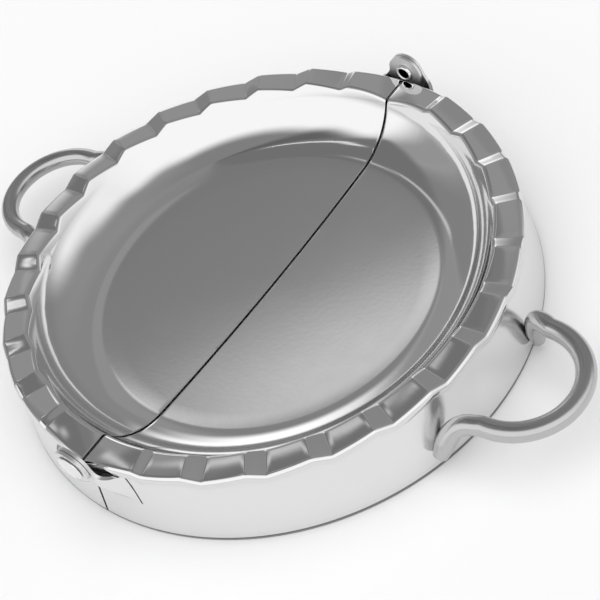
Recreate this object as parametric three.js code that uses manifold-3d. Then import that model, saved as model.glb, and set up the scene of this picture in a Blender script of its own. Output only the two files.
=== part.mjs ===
// Empanada press: two half moulds with a crimped rim, each standing on half of a cutter ring.
// The halves fold together on two riveted hinge ears and are worked by two loop handles of wire.
// Millimetres and degrees, +Z up. The origin lies on the table, under the middle of the hinge line.
// The hinge axis runs along Y. +X points along the handle of the right half, which folds over.

import * as THREE from 'three';
import { mergeVertices } from 'three/addons/utils/BufferGeometryUtils.js';
import Module from 'manifold-3d';

const wasm = await Module();
wasm.setup();

// Sheet metal and the running gaps
const sheet = 0.6;
const seamGap = 0.5;
const seatGap = 0.25;
const earGap = 0.12;
const rivetGap = 0.1;
const footGap = 0.2;
const cutOverrun = 4;

// Crimped band round the mouth of the mould, in saw teeth that interlock when the halves meet
const bandDiameter = 95;
const bandWidth = 4.9;
const crimpHeight = 1.1;
const toothCount = 12;
const endFacetDegrees = 12.3;
const riserDegrees = 3.8;
const seamDroop = 0.9;
const edgeRadius = 1;

// Lip rolled down round the outside of the band
const lipOverhang = 0.3;
const rollRadius = 1;
const lipDepth = 1.6;

// Dish
const dishDepth = 9;
const dishCrown = 1.1;
const dishBlendRadius = 12.5;
const floorMiddleShare = 0.55;
const wallDraftDegrees = 25.5;

// Cutter ring, a cone that widens to its ground bottom edge
const ringFlare = 1.5;
const ringHeight = 13.7;
const ringBelowBand = 0.45;
const bevelWidth = 0.25;
const bevelHeight = 0.7;

// Hinge ears at both ends of each half ring
const hingeAboveBand = 0.25;
const earRadius = 3.5;
const earFlatMargin = 0.4;
const earClearOfLip = 1.2;
const joggleReach = 5;
const shoulderDrop = 0.4;
const shoulderFillet = 1;

// Slit that frees the tab of the inner ear from the rest of the ring, leaning away from the seam
const slitWidth = 0.3;
const slitFootAcross = 9.4;
const slitFootHeight = 6.8;
const slitLeanDegrees = 13.8;

// Semi-tubular rivets
const shankDiameter = 2.7;
const earHoleDiameter = 3;
const headDiameter = 5;
const headHeight = 0.6;
const flangeDiameter = 3.4;
const flangeHeight = 0.5;
const tubeBore = 2.1;
const tubeDepth = 1.7;

// Wire handles, a bow on two legs whose feet turn down along the ring.
// The wire is bent by hand: the rear foot drops straight, and the front foot splays out along the ring.
const wireDiameter = 3.45;
const handleOverhang = 16.5;
const handleWidth = 24.8;
const handleHeight = 9;
const rearFoot = { across: 12, splay: 0, drop: 7, bend: 3.9 };
const frontFoot = { across: 12.2, splay: 3.7, drop: 5.3, bend: 3.7 };
const footTipShare = 0.6;
const footShinShare = 0.5;
const legRootShare = 1 / 3;

// Facets of the round forms
const bandStepDegrees = 4.7;
const ringStepDegrees = 4.6;
const blendSteps = 4;
const joggleSteps = 3;
const earSteps = 20;
const wireSides = 12;
const bendSteps = 7;
const legSteps = 3;
const bowSteps = 14;
const rivetSides = 24;
const domeSteps = 5;
const rolledEndSteps = 4;

// Sizes that follow from those above
const bandRadius = bandDiameter / 2;
const lipRadius = bandRadius + lipOverhang;
const crimpAmplitude = crimpHeight / 2;
const rimHeight = ringHeight + ringBelowBand + crimpAmplitude + sheet;
const wallSlope = Math.tan(THREE.MathUtils.degToRad(wallDraftDegrees));
const wallTurn = Math.PI / 2 - THREE.MathUtils.degToRad(wallDraftDegrees);
const ringTopRadius = lipRadius - sheet - seatGap;
const ringBottomRadius = lipRadius + ringFlare;
const hingeHeight = rimHeight + hingeAboveBand;
const innerEarFace = lipRadius + earClearOfLip;
const outerEarFace = innerEarFace + sheet + earGap;
const earFlatRadius = earRadius + earFlatMargin;
const wireRadius = wireDiameter / 2;
const handleReach = ringBottomRadius + handleOverhang;

// Turns a grid or lathe into one closed body with shared corners and outward faces
function closedBody(geometry) {
  const bare = new THREE.BufferGeometry();
  bare.setAttribute('position', geometry.getAttribute('position').clone());
  if (geometry.index) bare.setIndex(geometry.index.clone());
  const merged = mergeVertices(bare);
  const kept = [];
  const index = merged.index.array;
  const position = merged.getAttribute('position');
  const a = new THREE.Vector3();
  const b = new THREE.Vector3();
  const c = new THREE.Vector3();
  let volume = 0;
  for (let i = 0; i < index.length; i += 3) {
    const corners = [index[i], index[i + 1], index[i + 2]];
    if (new Set(corners).size < 3) continue;
    kept.push(...corners);
    a.fromBufferAttribute(position, corners[0]);
    b.fromBufferAttribute(position, corners[1]);
    c.fromBufferAttribute(position, corners[2]);
    volume += a.dot(b.cross(c));
  }
  if (volume < 0) kept.reverse();
  merged.setIndex(kept);
  return merged;
}

function toManifold(geometry) {
  const body = closedBody(geometry);
  return new wasm.Manifold(new wasm.Mesh({
    numProp: 3,
    vertProperties: new Float32Array(body.getAttribute('position').array),
    triVerts: new Uint32Array(body.index.array),
  }));
}

function toGeometry(solid) {
  const mesh = solid.getMesh();
  const geometry = new THREE.BufferGeometry();
  geometry.setAttribute('position', new THREE.BufferAttribute(mesh.vertProperties, 3));
  geometry.setIndex(new THREE.BufferAttribute(mesh.triVerts, 1));
  return geometry;
}

// Closes a bent sheet: front and back are grids of points, rows along the sheet, columns across it
function sheetBetween(front, back) {
  const rows = front.length;
  const columns = front[0].length;
  const positions = [];
  const index = [];
  for (const side of [front, back]) {
    for (const row of side) {
      for (const point of row) positions.push(point.x, point.y, point.z);
    }
  }
  const at = (side, row, column) => (side * rows + row) * columns + column;
  const quad = (p, q, r, s) => index.push(p, q, r, p, r, s);
  for (let i = 0; i + 1 < rows; i++) {
    for (let j = 0; j + 1 < columns; j++) {
      quad(at(0, i, j), at(0, i + 1, j), at(0, i + 1, j + 1), at(0, i, j + 1));
      quad(at(1, i, j), at(1, i, j + 1), at(1, i + 1, j + 1), at(1, i + 1, j));
    }
    quad(at(0, i, 0), at(1, i, 0), at(1, i + 1, 0), at(0, i + 1, 0));
    const last = columns - 1;
    quad(at(0, i, last), at(0, i + 1, last), at(1, i + 1, last), at(1, i, last));
  }
  for (let j = 0; j + 1 < columns; j++) {
    quad(at(0, 0, j), at(0, 0, j + 1), at(1, 0, j + 1), at(1, 0, j));
    const last = rows - 1;
    quad(at(0, last, j), at(1, last, j), at(1, last, j + 1), at(0, last, j + 1));
  }
  const geometry = new THREE.BufferGeometry();
  geometry.setAttribute('position', new THREE.Float32BufferAttribute(positions, 3));
  geometry.setIndex(index);
  return geometry;
}

// Evenly spaced values from one end to the other, the first left out
function stepsTo(from, to, count) {
  return Array.from({ length: count }, (_, i) => from + (to - from) * (i + 1) / count);
}

// Crimped band of one half, from the seam at +Y round to the seam at -Y.
// An end facet, half a riser, then teeth that fall away and rise again, half a riser, an end facet.
// The end facets droop towards the seam, which leaves room for the thick edge of the dough at the hinge.
// The pattern is odd about the handle line, so a folded half meets the other tooth in notch.
function bandStations() {
  const toothDegrees = (180 - 2 * endFacetDegrees - toothCount * riserDegrees) / toothCount;
  const facets = [[endFacetDegrees, 0], [riserDegrees / 2, crimpAmplitude]];
  for (let tooth = 1; tooth <= toothCount; tooth++) {
    facets.push([toothDegrees, -crimpAmplitude]);
    if (tooth < toothCount) facets.push([riserDegrees, crimpAmplitude]);
  }
  facets.push([riserDegrees / 2, 0], [endFacetDegrees, 0]);
  const stations = [{ degrees: 90, level: 0 }];
  for (const [width, level] of facets) {
    const start = stations[stations.length - 1];
    const count = Math.ceil(width / bandStepDegrees);
    const angles = stepsTo(start.degrees, start.degrees - width, count);
    const levels = stepsTo(start.level, level, count);
    angles.forEach((degrees, i) => stations.push({ degrees, level: levels[i] }));
  }
  for (const station of stations) {
    const fromSeam = 90 - Math.abs(station.degrees);
    station.level -= seamDroop * Math.max(1 - fromSeam / endFacetDegrees, 0) ** 2;
  }
  return stations;
}

// Cross-section of the mould where the band lies at a given level above its mean.
// Each station has a point on the upper face, as radius and height, and the normal there.
function mouldProfile(level) {
  const stations = [];
  const add = (r, z, nr, nz) => stations.push({ r, z: z + rimHeight, nr, nz });
  const rollRadial = lipRadius - rollRadius;
  add(lipRadius, level - lipDepth, 1, 0);
  for (const turn of [0, Math.PI / 4, Math.PI / 2]) {
    const [nr, nz] = [Math.cos(turn), Math.sin(turn)];
    add(rollRadial + rollRadius * nr, level - rollRadius + rollRadius * nz, nr, nz);
  }
  const brink = bandRadius - bandWidth + wallSlope * level;
  const bendRadial = brink + edgeRadius * Math.tan(wallTurn / 2);
  for (const turn of [0, wallTurn / 2, wallTurn]) {
    const [nr, nz] = [-Math.sin(turn), Math.cos(turn)];
    add(bendRadial + edgeRadius * nr, level - edgeRadius + edgeRadius * nz, nr, nz);
  }
  const blendHeight = dishBlendRadius - dishDepth;
  const tangentDepth = dishDepth - dishBlendRadius * (1 - Math.cos(wallTurn));
  const tangentRadial = bandRadius - bandWidth - wallSlope * tangentDepth;
  const floorRadius = tangentRadial - dishBlendRadius * Math.sin(wallTurn);
  for (const turn of [wallTurn, ...stepsTo(wallTurn, 0, blendSteps)]) {
    const [nr, nz] = [-Math.sin(turn), Math.cos(turn)];
    add(floorRadius - dishBlendRadius * nr, blendHeight - dishBlendRadius * nz, nr, nz);
  }
  for (const share of [floorMiddleShare, 0]) {
    add(floorRadius * share, -dishDepth - dishCrown * (1 - share * share), 0, 1);
  }
  return stations;
}

function mould() {
  const upper = [];
  const under = [];
  for (const { degrees, level } of bandStations()) {
    const angle = THREE.MathUtils.degToRad(degrees);
    const place = (r, z) => new THREE.Vector3(r * Math.cos(angle), r * Math.sin(angle), z);
    const profile = mouldProfile(level);
    upper.push(profile.map((p) => place(p.r, p.z)));
    under.push(profile.map((p) => place(Math.max(p.r - sheet * p.nr, 0), p.z - sheet * p.nz)));
  }
  const halfDish = toManifold(sheetBetween(upper, under));
  const reach = bandDiameter;
  const keepBox = new THREE.BoxGeometry(reach, 2 * reach, 2 * reach);
  keepBox.translate(reach / 2 + seamGap / 2, 0, 0);
  return toGeometry(halfDish.intersect(toManifold(keepBox)));
}

// Outer radius of the cutter ring's cone at a height above the table
function ringRadius(height) {
  return ringBottomRadius + (ringTopRadius - ringBottomRadius) * height / ringHeight;
}

// How far the sheet has left the cone for the flat plane of an ear: 1 on the ear, 0 on the cone
function joggle(along, height) {
  const past = Math.abs(along) - earFlatRadius;
  const below = hingeHeight - height - earFlatRadius;
  return 1 - THREE.MathUtils.clamp(Math.max(past, below) / joggleReach, 0, 1);
}

// Half ring before trimming: it runs past both seams and up past the ears.
// The end at +Y carries the outer ear, and the end at -Y carries the inner ear.
function ringBlank() {
  const overlap = earRadius + cutOverrun;
  const flatEnd = earFlatRadius;
  const joggleEnd = earFlatRadius + joggleReach;
  const endStations = [0, ...stepsTo(0, flatEnd, 2), ...stepsTo(flatEnd, joggleEnd, joggleSteps)];
  const halfArc = ringBottomRadius * Math.PI / 2;
  const arcSteps = Math.ceil(90 / ringStepDegrees);
  const midStations = stepsTo(joggleEnd, halfArc, arcSteps);
  const alongs = [-overlap, -flatEnd, ...endStations, ...midStations];
  const joggleFoot = hingeHeight - earFlatRadius - joggleReach;
  const joggleRise = stepsTo(joggleFoot, joggleFoot + joggleReach, joggleSteps);
  const heights = [0, bevelHeight, joggleFoot, ...joggleRise, hingeHeight + overlap];
  const point = (along, height, end, inward) => {
    const bevel = height > 0 || inward > 0 ? 0 : bevelWidth;
    const radius = ringRadius(height) - inward - bevel;
    const angle = along / ringBottomRadius;
    const face = (end > 0 ? outerEarFace : innerEarFace) + sheet - inward;
    const weight = joggle(along, height);
    const x = THREE.MathUtils.lerp(radius * Math.sin(angle), along, weight);
    const y = THREE.MathUtils.lerp(radius * Math.cos(angle), face, weight);
    return new THREE.Vector3(x, end * y, height);
  };
  const rows = [];
  for (const along of alongs) rows.push([along, 1]);
  for (const along of alongs.slice(0, -1).reverse()) rows.push([along, -1]);
  const grid = (inward) => rows.map(([along, end]) => heights.map((h) => point(along, h, end, inward)));
  return toManifold(sheetBetween(grid(0), grid(sheet)));
}

// Outline of the half ring seen along Y: x runs across the seam and y is the height above the table
function ringOutline() {
  const seam = seamGap / 2;
  const far = 2 * ringBottomRadius;
  const shoulder = ringHeight - shoulderDrop;
  const joggleEnd = earFlatRadius + joggleReach;
  const drop = hingeHeight - shoulder - shoulderFillet;
  const filletAcross = Math.sqrt((earRadius + shoulderFillet) ** 2 - drop ** 2);
  const filletTurn = Math.atan2(drop, filletAcross);
  const seamTurn = Math.acos(seam / earRadius);
  const outline = new THREE.Shape();
  outline.moveTo(seam, -cutOverrun);
  outline.lineTo(far, -cutOverrun);
  outline.lineTo(far, ringHeight);
  outline.lineTo(joggleEnd + shoulderDrop, ringHeight);
  outline.lineTo(joggleEnd, shoulder);
  outline.lineTo(filletAcross, shoulder);
  const filletCentre = shoulder + shoulderFillet;
  outline.absarc(filletAcross, filletCentre, shoulderFillet, -Math.PI / 2, Math.PI - filletTurn, true);
  outline.absarc(0, hingeHeight, earRadius, -filletTurn, 2 * Math.PI - seamTurn, false);
  outline.closePath();
  return outline;
}

function acrossY(geometry, length) {
  geometry.translate(0, 0, -length / 2);
  geometry.rotateX(Math.PI / 2);
  return geometry;
}

function cutterRing() {
  const reach = 4 * ringBottomRadius;
  const options = { depth: reach, bevelEnabled: false, curveSegments: earSteps };
  const trim = acrossY(new THREE.ExtrudeGeometry(ringOutline(), options), reach);
  const holeRadius = earHoleDiameter / 2;
  const holes = new THREE.CylinderGeometry(holeRadius, holeRadius, reach, rivetSides);
  holes.translate(0, 0, hingeHeight);
  const slit = new THREE.BoxGeometry(slitWidth, ringBottomRadius, ringHeight);
  slit.translate(0, 0, ringHeight / 2);
  slit.rotateY(-THREE.MathUtils.degToRad(slitLeanDegrees));
  slit.translate(slitFootAcross, -ringBottomRadius, slitFootHeight);
  const trimmed = ringBlank().intersect(toManifold(trim));
  return toGeometry(trimmed.subtract(toManifold(holes)).subtract(toManifold(slit)));
}

// Point beside the ring's outer face, at a height and a distance out from the sheet
function besideRing(across, height, distance) {
  const radius = ringRadius(height) + distance;
  return new THREE.Vector3(Math.sqrt(radius ** 2 - across ** 2), across, height);
}

// Centre line of half a handle on one side: up the foot from its tip, out along the leg to the bow
function footAndLeg(side, foot, bowCentre, bowRadius) {
  const { across, splay, drop, bend } = foot;
  const distance = wireRadius + footGap;
  const tipDistance = footTipShare * wireRadius + footGap;
  const tip = besideRing(across + splay, handleHeight - drop, tipDistance);
  const shin = besideRing(across + splay * footShinShare, handleHeight - drop * footShinShare, distance);
  const corner = besideRing(across, handleHeight, distance);
  const bowStart = new THREE.Vector3(bowCentre, bowRadius, handleHeight);
  const legStart = corner.clone().add(bowStart.clone().sub(corner).setLength(bend));
  const legEnd = bowStart.clone().setX((bowCentre + legStart.x) / 2);
  const legRoot = legStart.clone().lerp(bowStart, legRootShare);
  const bendCurve = new THREE.CubicBezierCurve3(tip, shin, corner, legStart);
  const legCurve = new THREE.CubicBezierCurve3(legStart, legRoot, legEnd, bowStart);
  const points = [...bendCurve.getPoints(bendSteps), ...legCurve.getPoints(legSteps).slice(1)];
  return points.map((p) => p.setY(side * p.y));
}

// Centre line of one handle, from the tip of the rear foot round to the tip of the front foot
function handlePath() {
  const bowRadius = handleWidth / 2 - wireRadius;
  const bowCentre = handleReach - handleWidth / 2;
  const rear = footAndLeg(1, rearFoot, bowCentre, bowRadius);
  const front = footAndLeg(-1, frontFoot, bowCentre, bowRadius);
  const bow = stepsTo(Math.PI / 2, -Math.PI / 2, bowSteps).slice(0, -1).map((turn) => new THREE.Vector3(
    bowCentre + bowRadius * Math.cos(turn), bowRadius * Math.sin(turn), handleHeight));
  return [...rear, ...bow, ...front.reverse()];
}

// Round wire along a path, with its two ends drawn in to a blunt tip
function wireAlong(path) {
  const positions = [];
  const index = [];
  const last = path.length - 1;
  const tangent = path.map((_, i) => {
    const after = path[Math.min(i + 1, last)];
    const before = path[Math.max(i - 1, 0)];
    return after.clone().sub(before).normalize();
  });
  let side = new THREE.Vector3(0, 1, 0);
  path.forEach((centre, i) => {
    side = side.clone().addScaledVector(tangent[i], -side.dot(tangent[i])).normalize();
    const up = tangent[i].clone().cross(side);
    const fromTip = Math.min(i, last - i);
    const drawnIn = fromTip === 0 ? footTipShare : (fromTip === 1 ? (1 + footTipShare) / 2 : 1);
    const radius = wireRadius * drawnIn;
    for (let k = 0; k < wireSides; k++) {
      const turn = 2 * Math.PI * k / wireSides;
      const corner = centre.clone().addScaledVector(side, radius * Math.cos(turn));
      corner.addScaledVector(up, radius * Math.sin(turn));
      positions.push(corner.x, corner.y, corner.z);
    }
  });
  for (let i = 0; i < last; i++) {
    for (let k = 0; k < wireSides; k++) {
      const [a, b] = [i * wireSides + k, i * wireSides + (k + 1) % wireSides];
      index.push(a, b, b + wireSides, a, b + wireSides, a + wireSides);
    }
  }
  for (let k = 1; k + 1 < wireSides; k++) {
    index.push(0, k + 1, k);
    index.push(last * wireSides, last * wireSides + k, last * wireSides + k + 1);
  }
  const geometry = new THREE.BufferGeometry();
  geometry.setAttribute('position', new THREE.Float32BufferAttribute(positions, 3));
  geometry.setIndex(index);
  return closedBody(geometry);
}

// Rivet on the hinge axis at +Y: domed head outside, shank through both ears, rolled end inside
function rivet() {
  const headSeat = outerEarFace + sheet + rivetGap;
  const flangeSeat = innerEarFace - rivetGap;
  const [head, shank, bore] = [headDiameter / 2, shankDiameter / 2, tubeBore / 2];
  const domeRadius = (head ** 2 + headHeight ** 2) / (2 * headHeight);
  const domeTurn = Math.asin(head / domeRadius);
  const profile = [new THREE.Vector2(0, headSeat + headHeight)];
  for (const turn of stepsTo(0, domeTurn, domeSteps)) {
    const y = headSeat + headHeight - domeRadius * (1 - Math.cos(turn));
    profile.push(new THREE.Vector2(domeRadius * Math.sin(turn), y));
  }
  profile.push(new THREE.Vector2(shank, headSeat), new THREE.Vector2(shank, flangeSeat));
  const ridge = (flangeDiameter - tubeBore) / 4;
  const ridgeCentre = bore + ridge;
  for (const turn of [0, ...stepsTo(0, Math.PI, rolledEndSteps)]) {
    const y = flangeSeat - flangeHeight * Math.sin(turn);
    profile.push(new THREE.Vector2(ridgeCentre + ridge * Math.cos(turn), y));
  }
  const tubeEnd = flangeSeat - flangeHeight + tubeDepth;
  profile.push(new THREE.Vector2(bore, tubeEnd), new THREE.Vector2(0, tubeEnd));
  const geometry = closedBody(new THREE.LatheGeometry(profile, rivetSides));
  geometry.translate(0, 0, hingeHeight);
  return geometry;
}

// Finishes
function steel(colour, roughness) {
  return new THREE.MeshStandardMaterial({ color: colour, roughness, metalness: 1 });
}

function piece(name, geometry, material) {
  const mesh = new THREE.Mesh(geometry, material);
  mesh.name = name;
  return mesh;
}

// The left half, and the rivet at its side, are the right ones turned half round about the Z axis
const mouldShape = mould();
const ringShape = cutterRing();
const handleShape = wireAlong(handlePath());
const rivetShape = rivet();

const right = new THREE.Group();
right.add(piece('right_mould', mouldShape, steel(0xc4c4c6, 0.16)));
right.add(piece('right_ring', ringShape, steel(0xd2d2d3, 0.24)));
right.add(piece('right_handle', handleShape, steel(0xa9aaad, 0.2)));
right.add(piece('rear_rivet', rivetShape, steel(0xb9b9bb, 0.22)));

const left = new THREE.Group();
left.rotation.z = Math.PI;
left.add(piece('left_mould', mouldShape.clone(), steel(0xbababc, 0.18)));
left.add(piece('left_ring', ringShape.clone(), steel(0xd2d2d3, 0.24)));
left.add(piece('left_handle', handleShape.clone(), steel(0xa9aaad, 0.2)));
left.add(piece('front_rivet', rivetShape.clone(), steel(0xb9b9bb, 0.22)));

const press = new THREE.Group();
press.add(left, right);

export default press;
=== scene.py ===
import math

import bmesh
import bpy
from mathutils import Matrix, Vector


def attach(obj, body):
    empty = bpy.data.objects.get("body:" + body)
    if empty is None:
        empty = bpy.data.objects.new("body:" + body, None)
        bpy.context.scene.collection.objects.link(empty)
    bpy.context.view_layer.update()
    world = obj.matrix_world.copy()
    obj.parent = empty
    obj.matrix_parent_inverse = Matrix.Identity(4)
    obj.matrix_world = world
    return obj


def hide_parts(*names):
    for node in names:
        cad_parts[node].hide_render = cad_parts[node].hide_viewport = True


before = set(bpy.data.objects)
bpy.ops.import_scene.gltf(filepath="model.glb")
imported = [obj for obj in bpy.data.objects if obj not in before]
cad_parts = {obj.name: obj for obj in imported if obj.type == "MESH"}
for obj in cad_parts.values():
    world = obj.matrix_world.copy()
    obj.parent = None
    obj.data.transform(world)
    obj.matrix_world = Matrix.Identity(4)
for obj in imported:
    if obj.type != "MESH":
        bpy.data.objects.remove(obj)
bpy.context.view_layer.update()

# Sheet metal. Each half ends at SEAM from the middle, and a row of corners at EDGE_HOLD from that
# end keeps the rounding of the edge where it belongs.
SHEET = 0.0006
SEAM = 0.00025
EDGE_ROUND = 0.00028
EDGE_HOLD = EDGE_ROUND + 0.00006
HINGE_HEIGHT = 0.01555

# Crimped band round the mouth: saw teeth between two plain end facets, which sink by SEAM_DROOP
# and flare out by SEAM_FLARE towards the seam. Each corner is rounded over CREASE degrees to
# either side, and the crimp reaches CRIMP_REACH in from the brink of the dish.
BAND_RADIUS = 0.0475
BRINK_RADIUS = BAND_RADIUS - 0.0049
RIM_HEIGHT = 0.0153
CRIMP = 0.00055
TEETH = 12
END_FACET = 12.3
RISER = 3.8
TOOTH = (180 - 2 * END_FACET - TEETH * RISER) / TEETH
CREASE = 0.35
SEAM_DROOP = 0.0009
SEAM_FLARE = 0.0007
BEND_RADIUS = 0.001
CRIMP_REACH = 0.00045

# Lip rolled down outside the band
LIP_RADIUS = BAND_RADIUS + 0.0003
ROLL_RADIUS = 0.001
LIP_DEPTH = 0.0016

# Dish
WALL_TURN = 64.5
WALL_SLOPE = math.tan(math.radians(90 - WALL_TURN))
DISH_DEPTH = 0.009
DISH_CROWN = 0.0011
BLEND_RADIUS = 0.0125
FLOOR_EDGE_SLOPE = 4.02

# Cutter ring
RING_BOTTOM_RADIUS = 0.0493
RING_TOP_RADIUS = LIP_RADIUS - SHEET - 0.00025
RING_HEIGHT = 0.0137
BEVEL_WIDTH = 0.00025
BEVEL_HEIGHT = 0.0007

# Hinge ears
EAR_RADIUS = 0.0035
EAR_FLAT_RADIUS = EAR_RADIUS + 0.0004
INNER_EAR_FACE = LIP_RADIUS + 0.0012
OUTER_EAR_FACE = INNER_EAR_FACE + SHEET + 0.00012
EAR_HOLE_RADIUS = 0.0015
JOGGLE_REACH = 0.005
SHOULDER_DROP = 0.0004
SHOULDER_FILLET = 0.003
SLIT_WIDTH = 0.0003
SLIT_FOOT = (0.0094, 0.0068)
SLIT_LEAN = 13.8
INMOST_EAR_RADIUS = 0.9 * RING_TOP_RADIUS

# Rivets
SHANK_RADIUS = 0.00135
HEAD_RADIUS = 0.0025
HEAD_HEIGHT = 0.0006
HEAD_RIM = HEAD_HEIGHT / 4
HEAD_RIM_TURN = 60
FLANGE_RADIUS = 0.0017
FLANGE_HEIGHT = 0.0005
TUBE_RADIUS = 0.00105
TUBE_DEPTH = 0.0017
TUBE_CHAMFER = 0.0003
RIVET_GAP = 0.0001

# Handles. TIP_THICKNESS is how thick the wire is at the tip of a foot, as a share of its thickness
# elsewhere, and TIP_CLOSENESS how far the tip's middle lies from the ring, as a share of the wire's
# radius and before the gap. Each foot bends into its leg in one curve, whose second point lies at
# SHIN_SHARE of the way down the foot, and which is made of two pieces that meet at BEND_SPLIT.
WIRE_RADIUS = 0.001725
HANDLE_REACH = 0.0658
HANDLE_WIDTH = 0.0248
HANDLE_HEIGHT = 0.009
REAR_FOOT = {"side": 1, "across": 0.012, "splay": 0.0, "drop": 0.007, "bend": 0.0039}
FRONT_FOOT = {"side": -1, "across": 0.0122, "splay": 0.0037, "drop": 0.0053, "bend": 0.0037}
FOOT_GAP = 0.0002
TIP_CLOSENESS = 0.6
TIP_THICKNESS = 0.75
TIP_ROUND = WIRE_RADIUS * 0.45
SHIN_SHARE = 0.5
BEND_SPLIT = 0.22
QUARTER_PULL = 0.5523  # a cubic curve with handles this long, times the radius, is a quarter circle

# Fineness of the meshes. FLOOR_ROWS are shares of the floor's radius, WALL_ROWS are depths and
# FACET_STEP is in degrees. LOW_ROWS, JOGGLE_ROWS and EAR_ROWS are heights in the ring, close
# together where the joggle runs out.
ROUND_STEPS = 64
ROLL_STEPS = 8
BEND_STEPS = 7
BLEND_STEPS = 16
WALL_ROWS = (0.0016, 0.0018)
FLOOR_ROWS = (0.9, 0.8, 0.7, 0.6, 0.5, 0.4, 0.3, 0.2, 0.1, 0.05, 0)
FACET_STEP = 1.1
LEAST_FACET_STEPS = 2
CREASE_STEPS = 4
LAST_FACET_STEPS = 12
EDGE_STEPS = 2
LOW_ROWS = (0, BEVEL_HEIGHT, 0.002, 0.0035, 0.005)
JOGGLE_ROWS = tuple(0.0058 + 0.0006 * i for i in range(14))
EAR_ROWS = (0.0142, 0.017, 0.0205)
EAR_RUN = 0.0095
EAR_RUN_STEPS = 26
RING_STEPS = 96
FILLET_STEPS = 10
DOME_STEPS = 12
HEAD_RIM_STEPS = 4
FLANGE_STEPS = 10
WIRE_RUN_STEPS = 14
WIRE_ROUND_STEPS = 10
TIP_STEPS = 5

# Reach of cuts, and slack in tests of place and in merging
PAST_SEAM = 0.006
CUT_REACH = 0.06
CUT_BELOW = 0.004
CUT_SLACK = 0.000001
HAIR = 0.00005
BOTTOM_ROWS_BELOW = 0.0002
MOULD_MERGE = 0.000005
WIRE_MERGE = 0.000002
RIVET_MERGE = 0.000003

# Edges at a sharper angle than this stay sharp in the shading. Those of the mould are rounded where
# they are sharper than MOULD_EDGE.
MOULD_SMOOTH = 32
RING_SMOOTH = 30
WIRE_SMOOTH = 40
RIVET_SMOOTH = 35
MOULD_EDGE = 60

# Camera of the photograph
CAMERA_PLACE = Vector((0.149595, -0.105804, 0.194313))
CAMERA_RIGHT = Vector((0.7751089, 0.5747944, -0.2623310))
CAMERA_UP = Vector((-0.3116581, 0.7089902, 0.6326153))
CAMERA_BACK = Vector((0.5496138, -0.4085882, 0.7286840))
CAMERA_LENS = 87.03
CAMERA_SENSOR = 36.0
CAMERA_NEAREST = 0.01


def deselect():
    bpy.ops.object.select_all(action="DESELECT")


def activate(piece):
    deselect()
    piece.select_set(True)
    bpy.context.view_layer.objects.active = piece


def edit(piece):
    """Opens one piece in edit mode, with nothing in its mesh selected."""
    activate(piece)
    bpy.ops.object.mode_set(mode="EDIT")
    bpy.ops.mesh.select_mode(type="VERT")
    bpy.ops.mesh.select_all(action="DESELECT")


def leave_edit():
    bpy.ops.object.mode_set(mode="OBJECT")


def select_mesh():
    """Selects the whole mesh that is open in edit mode."""
    bpy.ops.mesh.select_all(action="SELECT")


def select_corners(piece, wanted):
    """Selects the corners whose place passes a test."""
    bpy.ops.mesh.select_all(action="DESELECT")
    mesh = bmesh.from_edit_mesh(piece.data)
    for corner in mesh.verts:
        corner.select = wanted(corner.co)
    mesh.select_flush(True)
    bmesh.update_edit_mesh(piece.data)


def spin(turn, steps, centre=(0, 0, 0), axis=(0, 0, 1)):
    """Sweeps what is selected round an axis."""
    bpy.ops.mesh.spin(steps=steps, angle=math.radians(turn), center=centre, axis=axis)


def scale(around, up=1):
    """Scales what is selected about the origin, by one factor in X and Y and another in Z."""
    bpy.ops.transform.resize(value=(around, around, up), center_override=(0, 0, 0))


def extrude(move):
    bpy.ops.mesh.extrude_region_move(TRANSFORM_OT_translate={"value": move})


def merge_doubles(distance):
    select_mesh()
    bpy.ops.mesh.remove_doubles(threshold=distance)


def face_outwards():
    select_mesh()
    bpy.ops.mesh.normals_make_consistent(inside=False)


def bisect(x, clear_before=False):
    """Cuts the mesh all through at one X, and can clear what lies before the cut."""
    select_mesh()
    bpy.ops.mesh.bisect(plane_co=(x, 0, 0), plane_no=(1, 0, 0), clear_inner=clear_before,
                        threshold=CUT_SLACK)


def smooth(angle):
    """Shades the active piece smooth, except at edges sharper than an angle."""
    bpy.ops.object.shade_smooth_by_angle(angle=math.radians(angle))


def apply_modifier(piece, kind, **values):
    activate(piece)
    modifier = piece.modifiers.new(kind.lower(), kind)
    for key, value in values.items():
        setattr(modifier, key, value)
    bpy.ops.object.modifier_apply(modifier=modifier.name)


def thicken(piece):
    """Gives a sheet its thickness, inwards from the face that was modelled."""
    apply_modifier(piece, "SOLIDIFY", thickness=SHEET, offset=-1, use_even_offset=True)


def cut_with(piece, tool, operation):
    """Cuts or trims a piece with another one, which is then gone."""
    apply_modifier(piece, "BOOLEAN", operation=operation, solver="EXACT", object=tool)
    bpy.data.objects.remove(tool)


def name_piece(piece, name):
    piece.name = name
    piece.data.name = name
    return piece


def draw_line(name, points, closed=False):
    """A chain of edges, drawn by extruding one corner from point to point."""
    deselect()
    bpy.ops.mesh.primitive_plane_add(size=SHEET, location=(0, 0, 0))
    piece = name_piece(bpy.context.object, name)
    edit(piece)
    select_mesh()
    bpy.ops.mesh.merge(type="CENTER")
    bpy.ops.transform.translate(value=points[0])
    for here, there in zip(points, points[1:]):
        extrude(there - here)
    if closed:
        select_mesh()
        bpy.ops.mesh.edge_face_add()
    leave_edit()
    return piece


def half_turned(piece, name):
    """The same shape for the other half: a copy with its own mesh, turned half round about Z."""
    twin = piece.copy()
    twin.data = piece.data.copy()
    name_piece(twin, name)
    bpy.context.scene.collection.objects.link(twin)
    twin.data.transform(Matrix.Rotation(math.pi, 4, "Z"))
    return twin


def arc(centre_r, centre_z, radius, start, end, steps):
    """Points on an arc in a cross-section, as radius and height. Angles run from outwards to up."""
    turns = [math.radians(start + (end - start) * i / steps) for i in range(steps + 1)]
    return [(centre_r + radius * math.cos(t), centre_z + radius * math.sin(t)) for t in turns]


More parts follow.
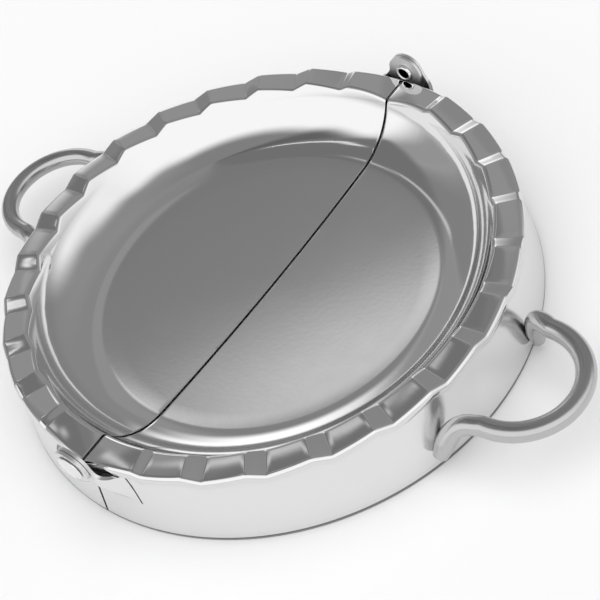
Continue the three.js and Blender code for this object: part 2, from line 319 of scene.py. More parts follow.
def crimp_corners():
    """Angle from the seam at +Y and level of each corner of the saw-tooth line round the rim."""
    angle = END_FACET
    corners = [(0, 0), (angle, 0)]
    angle += RISER / 2
    for tooth in range(TEETH):
        corners.append((angle, CRIMP))
        angle += TOOTH
        corners.append((angle, -CRIMP))
        angle += RISER
    corners.append((180 - END_FACET, 0))
    corners.append((180, 0))
    return corners


CORNERS = crimp_corners()


def angle_from_seam(place):
    return math.degrees(math.atan2(place.x, place.y))


def droops(angle):
    """Whether an angle from the seam is on an end facet, before the crease where teeth begin."""
    return min(angle, 180 - angle) < END_FACET - CREASE


def crimp_level(angle):
    """Height of the band above its mean, with each corner of the saw-tooth line rounded."""
    angle = min(max(angle, 0), 180)
    if droops(angle):
        return -SEAM_DROOP * (1 - min(angle, 180 - angle) / END_FACET) ** 2
    for (left, low), (here, level), (right, high) in zip(CORNERS, CORNERS[1:], CORNERS[2:]):
        past = angle - here
        if abs(past) < CREASE:
            slope_in = (level - low) / (here - left)
            slope_out = (high - level) / (right - here)
            rounding = (slope_out - slope_in) * (past + CREASE) ** 2 / (4 * CREASE)
            return level + slope_in * past + rounding
    for (left, low), (right, high) in zip(CORNERS, CORNERS[1:]):
        if angle <= right:
            return low + (high - low) * (angle - left) / (right - left)


def mould_section(bend_r):
    """Cross-section of the mould, from the lip to the middle of the floor. The band is at 0."""
    wall_turn = math.radians(WALL_TURN)
    wall_depth = DISH_DEPTH - BLEND_RADIUS * (1 - math.cos(wall_turn))
    blend_r = BRINK_RADIUS - WALL_SLOPE * wall_depth - BLEND_RADIUS * math.sin(wall_turn)
    section = [(LIP_RADIUS, -LIP_DEPTH)]
    section += arc(LIP_RADIUS - ROLL_RADIUS, -ROLL_RADIUS, ROLL_RADIUS, 0, 90, ROLL_STEPS)
    section += arc(bend_r, -BEND_RADIUS, BEND_RADIUS, 90, 90 + WALL_TURN, BEND_STEPS)
    section += [(BRINK_RADIUS - WALL_SLOPE * depth, -depth) for depth in WALL_ROWS]
    section += arc(blend_r, BLEND_RADIUS - DISH_DEPTH, BLEND_RADIUS,
                   -90 + WALL_TURN, -90 + FLOOR_EDGE_SLOPE, BLEND_STEPS)
    edge_r, edge_z = section[-1]
    section += [(edge_r * share, edge_z - DISH_CROWN * (1 - share ** 2)) for share in FLOOR_ROWS]
    return section


def spin_facets():
    """Spins the open section half round, with close steps at every crease."""
    stops = []
    for angle, level in CORNERS[1:-1]:
        stops += [(angle - CREASE, None), (angle + CREASE, CREASE_STEPS)]
    stops.append((180, LAST_FACET_STEPS))
    turned = 0
    for stop, steps in stops:
        turn = stop - turned
        spin(turn, steps or max(LEAST_FACET_STEPS, round(turn / FACET_STEP)))
        turned = stop


def raise_crimp(mould, bend_r):
    """Moves lip, band and brink to the saw-tooth line, one spoke of corners at a time.

    The brink slides along the slope of the wall, and the lip flares out where the band sinks.
    Spokes are told apart by their angle, to a hundredth of a degree.
    """
    wall_r = BRINK_RADIUS - CRIMP_REACH
    brink_r = bend_r + HAIR
    lip_r = LIP_RADIUS - ROLL_RADIUS - HAIR
    lip_z = RIM_HEIGHT - LIP_DEPTH - 2 * HAIR
    spokes = {}
    mesh = bmesh.from_edit_mesh(mould.data)
    for corner in mesh.verts:
        if corner.co.xy.length > wall_r and corner.co.z > lip_z:
            spokes.setdefault(round(angle_from_seam(corner.co), 2), []).append(corner.index)
    for angle, indices in spokes.items():
        level = crimp_level(angle)
        flare = -level * SEAM_FLARE / SEAM_DROOP if droops(angle) else 0
        bpy.ops.mesh.select_all(action="DESELECT")
        mesh = bmesh.from_edit_mesh(mould.data)
        mesh.verts.ensure_lookup_table()
        spoke = [mesh.verts[index] for index in indices]
        for corner in spoke:
            corner.select = True
        bmesh.update_edit_mesh(mould.data)
        bpy.ops.transform.translate(value=(0, 0, level))
        brink = (0, brink_r, WALL_SLOPE * level / BRINK_RADIUS)
        lip = (lip_r, 1, flare / LIP_RADIUS)
        for low_r, high_r, grow in (brink, lip):
            for corner in spoke:
                corner.select = low_r < corner.co.xy.length < high_r
            bmesh.update_edit_mesh(mould.data)
            scale(1 + grow)


def make_mould():
    """Half mould: a spun section with the crimp raised in it, cut at the seam and thickened."""
    bend_r = BRINK_RADIUS + BEND_RADIUS * math.tan(math.radians(WALL_TURN / 2))
    points = [Vector((0, r, z + RIM_HEIGHT)) for r, z in mould_section(bend_r)]
    mould = draw_line("right_mould_sheet", points)
    edit(mould)
    select_mesh()
    spin_facets()
    merge_doubles(MOULD_MERGE)
    face_outwards()
    raise_crimp(mould, bend_r)
    bisect(SEAM, clear_before=True)
    bisect(SEAM + EDGE_HOLD)
    leave_edit()
    if sum(face.normal.z * face.area for face in mould.data.polygons) < 0:
        mould.data.flip_normals()
    thicken(mould)
    apply_modifier(mould, "BEVEL", width=EDGE_ROUND, segments=EDGE_STEPS, limit_method="ANGLE",
                   angle_limit=math.radians(MOULD_EDGE))
    smooth(MOULD_SMOOTH)
    return mould


def ring_radius(height):
    """Radius of the ring's outer face at a height above the table."""
    return RING_BOTTOM_RADIUS + (RING_TOP_RADIUS - RING_BOTTOM_RADIUS) * height / RING_HEIGHT


def ease(share):
    """Runs from 0 to 1 with a soft start and a soft end."""
    share = min(max(share, 0), 1)
    return share * share * (3 - 2 * share)


def joggle_weight(place):
    """1 where the sheet is the flat ear, 0 where it is the ring's cone."""
    past = abs(place.x) - EAR_FLAT_RADIUS
    below = HINGE_HEIGHT - place.z - EAR_FLAT_RADIUS
    return ease(1 - max(past, below) / JOGGLE_REACH)


def set_out_ear(ring, side, face):
    """Pushes the sheet at one end of the ring out to the flat plane of its ear.

    A weight can't be above 1, so the reach starts further in than any corner near the ear lies.
    """
    reach = face - INMOST_EAR_RADIUS
    group = ring.vertex_groups.new(name="ear")
    for corner in ring.data.vertices:
        if corner.co.y * side > 0:
            push = joggle_weight(corner.co) * (face - abs(corner.co.y))
            group.add([corner.index], min(max(push / reach, 0), 1), "REPLACE")
    apply_modifier(ring, "DISPLACE", direction="Y", mid_level=0, strength=side * reach,
                   vertex_group="ear")
    ring.vertex_groups.clear()


def make_ring_outline():
    """A thick block with the outline of the half ring seen along the hinge, to trim the ring."""
    shoulder = RING_HEIGHT - SHOULDER_DROP
    joggle_end = EAR_FLAT_RADIUS + JOGGLE_REACH
    drop = HINGE_HEIGHT - shoulder - SHOULDER_FILLET
    across = math.sqrt((EAR_RADIUS + SHOULDER_FILLET) ** 2 - drop ** 2)
    turn = math.degrees(math.atan2(drop, across))
    seam_turn = math.degrees(math.acos(SEAM / EAR_RADIUS))
    outline = [(SEAM, -CUT_BELOW), (CUT_REACH, -CUT_BELOW), (CUT_REACH, RING_HEIGHT)]
    outline += [(joggle_end + SHOULDER_DROP, RING_HEIGHT), (joggle_end, shoulder)]
    outline += arc(across, shoulder + SHOULDER_FILLET, SHOULDER_FILLET,
                   -90, -180 - turn, FILLET_STEPS)
    outline += arc(0, HINGE_HEIGHT, EAR_RADIUS, -turn, 360 - seam_turn, ROUND_STEPS)
    points = [Vector((x, -CUT_REACH, z)) for x, z in outline]
    block = draw_line("ring_outline", points, closed=True)
    edit(block)
    select_mesh()
    extrude((0, 2 * CUT_REACH, 0))
    face_outwards()
    leave_edit()
    return block


def make_ear_drill():
    """A round bar along the hinge line."""
    deselect()
    bpy.ops.mesh.primitive_cylinder_add(
        vertices=ROUND_STEPS, radius=EAR_HOLE_RADIUS, depth=2 * CUT_REACH,
        location=(0, 0, HINGE_HEIGHT), rotation=(math.pi / 2, 0, 0))
    return name_piece(bpy.context.object, "ear_drill")


def make_slit_blade():
    """A thin leaning plate that cuts the slit beside the inner ear, from its foot upwards."""
    deselect()
    bpy.ops.mesh.primitive_cube_add(size=1, location=(0, 0, 0))
    blade = name_piece(bpy.context.object, "slit_blade")
    stand = Matrix.Translation((0, 0, 1 / 2))
    size = Matrix.Diagonal((SLIT_WIDTH, RING_BOTTOM_RADIUS, RING_HEIGHT, 1))
    lean = Matrix.Rotation(-math.radians(SLIT_LEAN), 4, "Y")
    foot = Matrix.Translation((SLIT_FOOT[0], -RING_BOTTOM_RADIUS, SLIT_FOOT[1]))
    blade.data.transform(stand)
    blade.data.transform(foot @ lean @ size)
    return blade


def grind_bevel(ring):
    """Narrows the outer face at the very bottom, and makes the bottom level."""
    edit(ring)
    outer_r = RING_BOTTOM_RADIUS - SHEET / 2
    select_corners(ring, lambda place: place.z < BOTTOM_ROWS_BELOW and place.xy.length > outer_r)
    scale(1 - BEVEL_WIDTH / RING_BOTTOM_RADIUS)
    select_corners(ring, lambda place: place.z < BOTTOM_ROWS_BELOW)
    scale(1, up=0)
    leave_edit()


def make_ring():
    """Half cutter ring: a spun cone, set out to an ear at each end, trimmed, drilled and slit."""
    past_seam = math.degrees(PAST_SEAM / RING_BOTTOM_RADIUS)
    start = Matrix.Rotation(math.radians(past_seam), 3, "Z")
    heights = LOW_ROWS + JOGGLE_ROWS + EAR_ROWS
    ring = draw_line("right_ring_sheet", [start @ Vector((0, ring_radius(z), z)) for z in heights])
    edit(ring)
    select_mesh()
    ear_turn = past_seam + math.degrees(EAR_RUN / RING_BOTTOM_RADIUS)
    middle_turn = 180 + 2 * past_seam - 2 * ear_turn
    spin(ear_turn, EAR_RUN_STEPS)
    spin(middle_turn, RING_STEPS)
    spin(ear_turn, EAR_RUN_STEPS)
    face_outwards()
    leave_edit()
    if sum(face.center.xy.dot(face.normal.xy) for face in ring.data.polygons) < 0:
        ring.data.flip_normals()
    set_out_ear(ring, 1, OUTER_EAR_FACE + SHEET)
    set_out_ear(ring, -1, INNER_EAR_FACE + SHEET)
    thicken(ring)
    grind_bevel(ring)
    cut_with(ring, make_ring_outline(), "INTERSECT")
    cut_with(ring, make_ear_drill(), "DIFFERENCE")
    cut_with(ring, make_slit_blade(), "DIFFERENCE")
    activate(ring)
    smooth(RING_SMOOTH)
    return ring


def beside_ring(side, across, height, distance):
    """A point beside the ring's outer face, given by its Y and its height."""
    radius = ring_radius(height) + distance
    return Vector((math.sqrt(radius ** 2 - across ** 2), side * across, height))


def split_bend(points, share):
    """Cuts a cubic curve in two: the four points of the first part and of the second."""
    a, b, c, d = points
    ab, bc, cd = a.lerp(b, share), b.lerp(c, share), c.lerp(d, share)
    abc, bcd = ab.lerp(bc, share), bc.lerp(cd, share)
    middle = abc.lerp(bcd, share)
    return [a, ab, abc, middle], [middle, bcd, cd, d]


def foot_and_leg(foot, bow_centre, bow_radius):
    """Curve pieces from the tip of a foot, up beside the ring and out along the leg to the bow."""
    side, across, splay, drop = foot["side"], foot["across"], foot["splay"], foot["drop"]
    tip = beside_ring(side, across + splay, HANDLE_HEIGHT - drop,
                      TIP_CLOSENESS * WIRE_RADIUS + FOOT_GAP)
    shin = beside_ring(side, across + splay * SHIN_SHARE, HANDLE_HEIGHT - drop * SHIN_SHARE,
                       WIRE_RADIUS + FOOT_GAP)
    corner = beside_ring(side, across, HANDLE_HEIGHT, WIRE_RADIUS + FOOT_GAP)
    bow_start = Vector((bow_centre, side * bow_radius, HANDLE_HEIGHT))
    leg_start = corner + (bow_start - corner).normalized() * foot["bend"]
    leg_root = leg_start.lerp(bow_start, 1 / 3)
    leg_end = Vector(((bow_centre + leg_start.x) / 2, bow_start.y, HANDLE_HEIGHT))
    toe, bend = split_bend([tip, shin, corner, leg_start], BEND_SPLIT)
    return [toe, bend, [leg_start, leg_root, leg_end, bow_start]]


def handle_bends():
    """All curve pieces of the wire, from the tip of the rear foot to that of the front foot."""
    bow_radius = HANDLE_WIDTH / 2 - WIRE_RADIUS
    bow_centre = HANDLE_REACH - HANDLE_WIDTH / 2
    rear = foot_and_leg(REAR_FOOT, bow_centre, bow_radius)
    front = [piece[::-1] for piece in foot_and_leg(FRONT_FOOT, bow_centre, bow_radius)[::-1]]
    pull = bow_radius * QUARTER_PULL
    outwards, sideways = Vector((pull, 0, 0)), Vector((0, pull, 0))
    top = Vector((bow_centre + bow_radius, 0, HANDLE_HEIGHT))
    rear_start, front_start = rear[-1][3], front[0][0]
    bow = [[rear_start, rear_start + outwards, top + sideways, top],
           [top, top - sideways, front_start + outwards, front_start]]
    return rear + bow + front


def make_handle():
    """Wire handle: a round curve from foot to foot, made a mesh, with its two ends rounded."""
    bends = handle_bends()
    deselect()
    bpy.ops.curve.primitive_bezier_curve_add(location=(0, 0, 0))
    wire = name_piece(bpy.context.object, "right_handle_wire")
    spline = wire.data.splines[0]
    spline.bezier_points.add(len(bends) + 1 - len(spline.bezier_points))
    for i, knot in enumerate(spline.bezier_points):
        knot.handle_left_type = knot.handle_right_type = "FREE"
        knot.co = bends[i][0] if i < len(bends) else bends[-1][3]
        knot.handle_right = bends[i][1] if i < len(bends) else knot.co
        knot.handle_left = bends[i - 1][2] if i > 0 else knot.co
        knot.radius = TIP_THICKNESS if i in (0, len(bends)) else 1
    wire.data.dimensions = "3D"
    wire.data.resolution_u = WIRE_RUN_STEPS
    wire.data.bevel_depth = WIRE_RADIUS
    wire.data.bevel_resolution = WIRE_ROUND_STEPS
    wire.data.use_fill_caps = True
    activate(wire)
    bpy.ops.object.convert(target="MESH")
    wire = bpy.context.object

    edit(wire)
    merge_doubles(WIRE_MERGE)
    face_outwards()
    mesh = bmesh.from_edit_mesh(wire.data)
    bpy.ops.mesh.select_mode(type="FACE")
    for face in mesh.faces:
        face.select = len(face.verts) > 4  # only the two end caps have more than four corners
    bmesh.update_edit_mesh(wire.data)
    bpy.ops.mesh.region_to_loop()
    bpy.ops.mesh.bevel(offset=TIP_ROUND, segments=TIP_STEPS, affect="EDGES")
    leave_edit()
    smooth(WIRE_SMOOTH)
    return wire


def make_rivet():
    """Semi-tubular rivet: domed head outside, shank through both ears, rolled hollow end inside."""
    head_seat = OUTER_EAR_FACE + SHEET + RIVET_GAP
    flange_seat = INNER_EAR_FACE - RIVET_GAP
    rim_r = HEAD_RADIUS - HEAD_RIM
    crown = HEAD_HEIGHT - HEAD_RIM
    dome = (HEAD_RADIUS ** 2 + crown ** 2) / (2 * crown)
    dome_turn = math.degrees(math.asin(rim_r / dome))
    section = arc(0, head_seat + HEAD_HEIGHT - dome, dome, 90, 90 - dome_turn, DOME_STEPS)
    section += arc(rim_r, head_seat + HEAD_RIM, HEAD_RIM, HEAD_RIM_TURN, 0, HEAD_RIM_STEPS)
    section += [(HEAD_RADIUS, head_seat + HEAD_RIM / 2), (HEAD_RADIUS - HEAD_RIM / 2, head_seat)]
    section += [(SHANK_RADIUS, head_seat), (SHANK_RADIUS, flange_seat)]
    ridge = (FLANGE_RADIUS - TUBE_RADIUS) / 2
    rolled = arc(TUBE_RADIUS + ridge, 0, ridge, 0, 180, FLANGE_STEPS)
    section += [(r, flange_seat - z * FLANGE_HEIGHT / ridge) for r, z in rolled]
    tube_end = flange_seat - FLANGE_HEIGHT + TUBE_DEPTH
    section += [(TUBE_RADIUS, tube_end - TUBE_CHAMFER), (TUBE_RADIUS - TUBE_CHAMFER, tube_end)]
    section += [(0, tube_end)]
    rivet = draw_line("rear_rivet_turned", [Vector((r, y, HINGE_HEIGHT)) for r, y in section])
    edit(rivet)
    select_mesh()
    spin(360, ROUND_STEPS, centre=(0, 0, HINGE_HEIGHT), axis=(0, 1, 0))
    merge_doubles(RIVET_MERGE)
    face_outwards()
    leave_edit()
    smooth(RIVET_SMOOTH)
    return rivet


def feed(tree, entry, source):
    """Fills an entry of a node with another node's output, or else with a fixed value."""
    if isinstance(source, bpy.types.NodeSocket):
        tree.links.new(source, entry)
    else:
        entry.default_value = source


def grey(level):
    return (level, level, level, 1)


def math_node(tree, operation, *sources):
    """The output of a calculation on other outputs or fixed numbers."""
    node = tree.nodes.new("ShaderNodeMath")
    node.operation = operation
    for entry, source in zip(node.inputs, sources):
        feed(tree, entry, source)
    return node.outputs[0]


def vector_node(tree, operation, *sources):
    node = tree.nodes.new("ShaderNodeVectorMath")
    node.operation = operation
    for entry, source in zip(node.inputs, sources):
        feed(tree, entry, source)
    return node


# Places of the factor and the two sources among the entries of a Mix node, and of its result
NUMBER_ENTRIES, NUMBER_RESULT = (0, 2, 3), 0
COLOUR_ENTRIES, COLOUR_RESULT = (0, 6, 7), 2


def mix_numbers(tree, factor, first, second):
    """Goes from the first number to the second as the factor goes from 0 to 1."""
    mix = tree.nodes.new("ShaderNodeMix")
    for entry, source in zip(NUMBER_ENTRIES, (factor, first, second)):
        feed(tree, mix.inputs[entry], source)
    return mix.outputs[NUMBER_RESULT]


def mix_colours(tree, factor, first, second, blend):
    """Blends the second colour into the first by a factor."""
    mix = tree.nodes.new("ShaderNodeMix")
    mix.data_type = "RGBA"
    mix.blend_type = blend
    for entry, source in zip(COLOUR_ENTRIES, (factor, first, second)):
        feed(tree, mix.inputs[entry], source)
    return mix.outputs[COLOUR_RESULT]


def noise(tree, place, fineness, detail):
    texture = tree.nodes.new("ShaderNodeTexNoise")
    feed(tree, texture.inputs["Vector"], place)
    feed(tree, texture.inputs["Scale"], fineness)
    texture.inputs["Detail"].default_value = detail
    return texture


LINE_DETAIL = 3.0
WAVE_DETAIL = 1.0
SMUDGE_SIZE = 55.0
SMUDGE_DETAIL = 4.0
SMUDGE_ROUGHNESS = 0.65


def make_polish_group():
    """Fine polishing lines and faint waves as a height for bump, and smudges for roughness."""
    tree = bpy.data.node_groups.new("polish_lines", "ShaderNodeTree")
    faces = tree.interface
    faces.new_socket("Vector", in_out="INPUT", socket_type="NodeSocketVector")
    for name, value in (("Fineness", 900.0), ("Wave Size", 90.0), ("Wave Share", 0.3)):
        socket = faces.new_socket(name, in_out="INPUT", socket_type="NodeSocketFloat")
        socket.default_value = value
    faces.new_socket("Height", in_out="OUTPUT", socket_type="NodeSocketFloat")
    faces.new_socket("Wear", in_out="OUTPUT", socket_type="NodeSocketFloat")
    entry = tree.nodes.new("NodeGroupInput").outputs
    result = tree.nodes.new("NodeGroupOutput").inputs
    place = entry["Vector"]
    lines = noise(tree, place, entry["Fineness"], LINE_DETAIL)
    waves = noise(tree, place, entry["Wave Size"], WAVE_DETAIL)
    height = mix_numbers(tree, entry["Wave Share"], lines.outputs["Fac"], waves.outputs["Fac"])
    smudges = noise(tree, place, SMUDGE_SIZE, SMUDGE_DETAIL)
    smudges.inputs["Roughness"].default_value = SMUDGE_ROUGHNESS
    feed(tree, result["Height"], height)
    feed(tree, result["Wear"], smudges.outputs["Fac"])
    return tree


def make_band_group():
    """Mask that is 1 where a value lies between two limits, and falls to 0 over a soft edge."""
    tree = bpy.data.node_groups.new("soft_band", "ShaderNodeTree")
    for name in ("Value", "From", "To", "Softness"):
        tree.interface.new_socket(name, in_out="INPUT", socket_type="NodeSocketFloat")
    tree.interface.new_socket("Mask", in_out="OUTPUT", socket_type="NodeSocketFloat")
    entry = tree.nodes.new("NodeGroupInput").outputs
    result = tree.nodes.new("NodeGroupOutput").inputs
    masks = []
    for more, less in (("Value", "From"), ("To", "Value")):
        past = math_node(tree, "SUBTRACT", entry[more], entry[less])
        edge = tree.nodes.new("ShaderNodeMapRange")
        edge.interpolation_type = "SMOOTHSTEP"
        edge.inputs["From Min"].default_value = -0.5
        edge.inputs["From Max"].default_value = 0.5
        feed(tree, edge.inputs["Value"], math_node(tree, "DIVIDE", past, entry["Softness"]))
        masks.append(edge.outputs[0])
    feed(tree, result["Mask"], math_node(tree, "MULTIPLY", *masks))
    return tree


POLISH = make_polish_group()
SOFT_BAND = make_band_group()
NO_LOWER_LIMIT = -1


def within(tree, value, low, high, soft):
    """Mask where an output lies between two limits."""
    band = tree.nodes.new("ShaderNodeGroup")
    band.node_tree = SOFT_BAND
    for name, source in (("Value", value), ("From", low), ("To", high), ("Softness", soft)):
        feed(tree, band.inputs[name], source)
    return band.outputs["Mask"]


def coordinate(tree, place, axis):
    parts = tree.nodes.new("ShaderNodeSeparateXYZ")
    feed(tree, parts.inputs[0], place)
    return parts.outputs[axis]


# Masks of the steel's zones: limits, and widths of the soft edges. The soft edge of a disc is its
# radius over DISC_SHARPNESS wide.
GROUND_SOFTNESS = 0.00012
# Limits of the line of painted shade in the corner above the ground bevel
SHADE_LINE_BELOW = 0.0001
SHADE_LINE_ABOVE = 0.00015
SHADE_LINE_SOFTNESS = 0.0001
DISC_SHARPNESS = 12
EAR_DISC_RADIUS = EAR_RADIUS * 1.25
BORE_DISC_RADIUS = TUBE_RADIUS * 1.08
BORE_SOFTNESS = 0.0001


def rough_shaded_ground_bevel(tree, place):
    """The bevel that is ground along the bottom of the ring, where the steel is rougher and painted
    dark as contact shade from the table.
    """
    height = coordinate(tree, place, "Z")
    return within(tree, height, NO_LOWER_LIMIT, BEVEL_HEIGHT, GROUND_SOFTNESS)


def painted_crease_shade(tree, place):
    """Painted shade along the corner above the ground bevel."""
    height = coordinate(tree, place, "Z")
    return within(tree, height, BEVEL_HEIGHT - SHADE_LINE_BELOW, BEVEL_HEIGHT + SHADE_LINE_ABOVE,
                  SHADE_LINE_SOFTNESS)


def hinge_disc(radius):
    """Builds a mask of what lies within a distance of the hinge line."""
    def mask(tree, place):
        from_line = vector_node(tree, "SUBTRACT", place, (0, 0, HINGE_HEIGHT))
        flat = vector_node(tree, "MULTIPLY", from_line.outputs["Vector"], (1, 0, 1))
        distance = vector_node(tree, "LENGTH", flat.outputs["Vector"])
        return within(tree, distance.outputs["Value"], NO_LOWER_LIMIT, radius,
                      radius / DISC_SHARPNESS)
    return mask


def rivet_bore_oxide_and_shade(tree, place):
    """The bore of the rivet, and not the domed head on the same axis. It is painted black: dull
    oxide in the hollow, and painted shade down the deep bore.
    """
    depth = math_node(tree, "ABSOLUTE", coordinate(tree, place, "Y"))
    inside = within(tree, depth, NO_LOWER_LIMIT, OUTER_EAR_FACE + SHEET, BORE_SOFTNESS)
    return math_node(tree, "MULTIPLY", hinge_disc(BORE_DISC_RADIUS)(tree, place), inside)


# As the polish group's wear goes from WEAR_LOW to WEAR_HIGH, the roughness goes from FINER to
# COARSER times its own value.
WEAR_LOW, WEAR_HIGH = 0.3, 0.7
FINER, COARSER = 0.8, 1.25
# Brightness of the steel where it is mirrored by other steel, against what the camera sees of it.
# Chosen to match the tones of the photograph, where the dish mirrors its own wall.
SECOND_MIRRORING = 1.15


def steel(name, colour, roughness, depth, fineness, zones=()):
    """Polished stainless steel with fine lines, and roughness that varies over the surface.

    Each zone is a mask, with the colour and the roughness that the steel is given there; the dark
    colours of some zones are painted shade.
    """
    finish = bpy.data.materials.new(name)
    finish.use_nodes = True
    tree = finish.node_tree
    shader = tree.nodes["Principled BSDF"].inputs
    shader["Metallic"].default_value = 1.0
    shader["Base Color"].default_value = grey(colour)
    place = tree.nodes.new("ShaderNodeTexCoord").outputs["Object"]
    polish = tree.nodes.new("ShaderNodeGroup")
    polish.node_tree = POLISH
    polish.inputs["Fineness"].default_value = fineness
    feed(tree, polish.inputs["Vector"], place)
    spread = tree.nodes.new("ShaderNodeMapRange")
    feed(tree, spread.inputs["Value"], polish.outputs["Wear"])
    spread.inputs["From Min"].default_value = WEAR_LOW
    spread.inputs["From Max"].default_value = WEAR_HIGH
    spread.inputs["To Min"].default_value = roughness * FINER
    spread.inputs["To Max"].default_value = roughness * COARSER
    rough, tint = spread.outputs[0], grey(colour)
    for make_mask, zone_colour, zone_roughness in zones:
        mask = make_mask(tree, place)
        rough = mix_numbers(tree, mask, rough, zone_roughness)
        tint = mix_colours(tree, mask, tint, grey(zone_colour), "MIX")
    mirrored = tree.nodes.new("ShaderNodeLightPath").outputs["Is Glossy Ray"]
    tint = mix_colours(tree, mirrored, tint, grey(SECOND_MIRRORING), "MULTIPLY")
    feed(tree, shader["Roughness"], rough)
    feed(tree, shader["Base Color"], tint)
    bump = tree.nodes.new("ShaderNodeBump")
    bump.inputs["Strength"].default_value = 1.0
    bump.inputs["Distance"].default_value = depth
    feed(tree, bump.inputs["Height"], polish.outputs["Height"])
    feed(tree, shader["Normal"], bump.outputs["Normal"])
    return finish


def give(piece, finish):
    """Makes a material the only one on a piece."""
    piece.data.materials.clear()
    piece.data.materials.append(finish)


# Zones: mask, colour and roughness
EAR_ZONE = (hinge_disc(EAR_DISC_RADIUS), 0.7, 0.42)
# The ground bevel is rougher steel, and its dark colour is painted contact shade from the table.
GROUND_BEVEL_SHADE_ZONE = (rough_shaded_ground_bevel, 0.28, 0.3)
# A thin line of painted shade in the corner above the ground bevel.
CREASE_SHADE_ZONE = (painted_crease_shade, 0.12, 0.4)
# The rivet's bore is painted black: dull oxide, and painted shade down the deep hole.
BORE_OXIDE_AND_SHADE_ZONE = (rivet_bore_oxide_and_shade, 0.0, 0.7)
RING_ZONES = (GROUND_BEVEL_SHADE_ZONE, CREASE_SHADE_ZONE, EAR_ZONE)

# Steels: name, colour, roughness, and depth and fineness of the lines
MOULD_STEEL = steel("stamped mould steel", 0.72, 0.07, 0.000002, 1200.0)
RING_STEEL = steel("rolled ring steel", 0.76, 0.2, 0.000004, 1500.0, RING_ZONES)
WIRE_STEEL = steel("drawn wire steel", 0.5, 0.2, 0.000002, 1500.0)
RIVET_STEEL = steel("rivet steel", 0.8, 0.16, 0.000002, 1500.0, (BORE_OXIDE_AND_SHADE_ZONE,))

PARTS = (
    (make_mould, "right_mould", "left_mould", MOULD_STEEL, "mould_steel"),
    (make_ring, "right_ring", "left_ring", RING_STEEL, "ring_steel"),
    (make_handle, "right_handle", "left_handle", WIRE_STEEL, "wire_steel"),
    (make_rivet, "rear_rivet", "front_rivet", RIVET_STEEL, "rivet_steel"),
)

for make, right_node, left_node, finish, slot in PARTS:
    right = make()
    left = half_turned(right, right.name.replace(right_node, left_node))
    give(right, finish)
    give(left, finish)
    for piece, node, body in ((right, right_node, "right_half"), (left, left_node, "left_half")):
        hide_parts(node)
        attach(piece, body)


TABLE_SIZE = 6
PAPER_GREY = 0.86
PAPER_ROUGHNESS = 0.9
PAPER_GLOSS = 0.1


def make_floor():
    deselect()
    bpy.ops.mesh.primitive_plane_add(size=TABLE_SIZE, location=(0, 0, 0))
    floor = name_piece(bpy.context.object, "table_top")
    paper = bpy.data.materials.new("white paper")
    paper.use_nodes = True
    shader = paper.node_tree.nodes["Principled BSDF"].inputs
    shader["Base Color"].default_value = grey(PAPER_GREY)
    shader["Roughness"].default_value = PAPER_ROUGHNESS
    shader["Specular IOR Level"].default_value = PAPER_GLOSS
    give(floor, paper)


# Panels of the studio: level, azimuth from and to, elevation from and to, and softness of the edge.
# Azimuth 0 is behind the camera, positive to its right. Where a panel ends beyond WRAP_BEYOND, its
# azimuths run from 0 to 360. Later panels cover earlier ones.
PANELS = (
    (1.21, 187, 197, -32, 94, 6),
    (1.5, 166, 184.4, 4.6, 25.5, 12),
    (1.45, 177.5, 183, 42.6, 43.9, 4.5),
    (0.32, 100.6, 172.4, 15, 98.6, 12.5),
    (1.28, -122.2, 55, 2.8, 60, 17.4),
    (1.16, 43, 99.5, 2.4, 48, 30),
    (0.16, -138.6, -75.5, 54.7, 100, 20),
    (0.36, 185.5, 199.6, 0.2, 97.4, 4.5),
    (0.37, 160, 177, 29.3, 65, 4.5),
    (0.4, 229, 257.7, 1.4, 60, 20),
    (0.35, 78.3, 131.8, 30, 77.4, 30),
    (0.34, 25, 93.3, 54.2, 74.2, 25),
    (0.22, 184.5, 256, 42, 97, 7),
    (0.25, 179, 186, 48, 97, 6),
    (1.5, 241.5, 245, 60.5, 79, 4.5),
    (1.4, 236.5, 240, 58.5, 63, 4.5),
    (0.9, 199.5, 202, 36, 52, 4.5),
    (0.7, 195.5, 199, 52.5, 57, 4.5),
)
WRAP_BEYOND = 140
SKY_LEVEL = 0.29
LAMP_HEIGHT = 1.2
LAMP_SIZE = 1.6
LAMP_POWER = 10.8


def background(tree, strength):
    light = tree.nodes.new("ShaderNodeBackground")
    light.inputs["Color"].default_value = grey(1)
    feed(tree, light.inputs["Strength"], strength)
    return light.outputs[0]


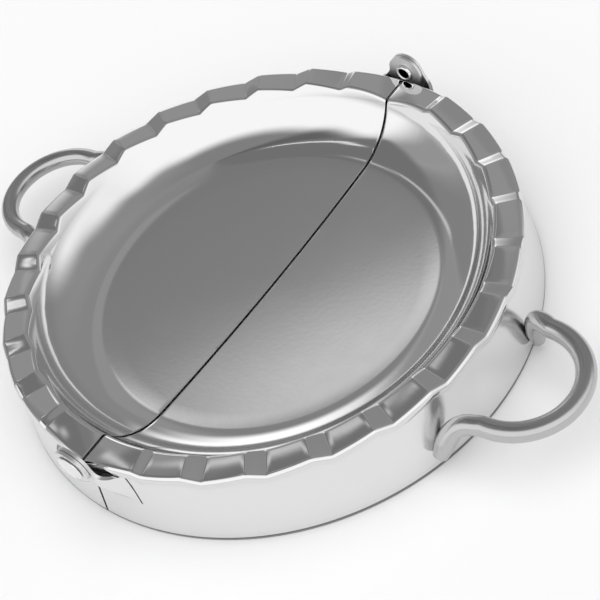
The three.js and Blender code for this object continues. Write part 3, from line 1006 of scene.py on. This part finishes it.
def make_studio():
    """Walls and panels round the table, as the steel mirrors them. The camera itself sees white."""
    world = bpy.data.worlds.new("studio")
    bpy.context.scene.world = world
    world.use_nodes = True
    tree = world.node_tree
    tree.nodes.clear()
    result = tree.nodes.new("ShaderNodeOutputWorld")
    direction = tree.nodes.new("ShaderNodeTexCoord").outputs["Generated"]
    towards = Vector((CAMERA_BACK.x, CAMERA_BACK.y, 0)).normalized()
    rightwards = Vector((-towards.y, towards.x, 0))
    upwards = Vector((0, 0, 1))

    def part_along(vector):
        return vector_node(tree, "DOT_PRODUCT", direction, vector).outputs["Value"]

    around = math_node(tree, "ARCTAN2", part_along(rightwards), part_along(towards))
    azimuth = math_node(tree, "DEGREES", around)
    wrapped = math_node(tree, "WRAP", azimuth, 360, 0)
    above = math_node(tree, "ARCSINE", part_along(upwards))
    elevation = math_node(tree, "DEGREES", above)

    level = SKY_LEVEL
    for value, left, right, low, high, soft in PANELS:
        across = within(tree, wrapped if right > WRAP_BEYOND else azimuth, left, right, soft)
        upright = within(tree, elevation, low, high, soft)
        level = mix_numbers(tree, math_node(tree, "MULTIPLY", across, upright), level, value)
    seen = tree.nodes.new("ShaderNodeMixShader")
    camera_ray = tree.nodes.new("ShaderNodeLightPath").outputs["Is Camera Ray"]
    sources = (camera_ray, background(tree, level), background(tree, 1.0))
    for entry, source in zip(seen.inputs, sources):
        feed(tree, entry, source)
    feed(tree, result.inputs["Surface"], seen.outputs[0])

    bpy.ops.object.light_add(type="AREA", location=(0, 0, LAMP_HEIGHT))
    lamp = bpy.context.object
    lamp.name = "ceiling_lamp"
    lamp.data.size = LAMP_SIZE
    lamp.data.energy = LAMP_POWER
    lamp.visible_glossy = False


def place_camera():
    bpy.ops.object.camera_add(location=(0, 0, 0))
    camera = bpy.context.object
    turn = Matrix((CAMERA_RIGHT, CAMERA_UP, CAMERA_BACK)).transposed().to_4x4()
    camera.matrix_world = Matrix.Translation(CAMERA_PLACE) @ turn
    camera.data.lens = CAMERA_LENS
    camera.data.sensor_width = CAMERA_SENSOR
    camera.data.clip_start = CAMERA_NEAREST
    bpy.context.scene.camera = camera


make_floor()
make_studio()
place_camera()
bpy.context.scene.view_settings.view_transform = "Standard"
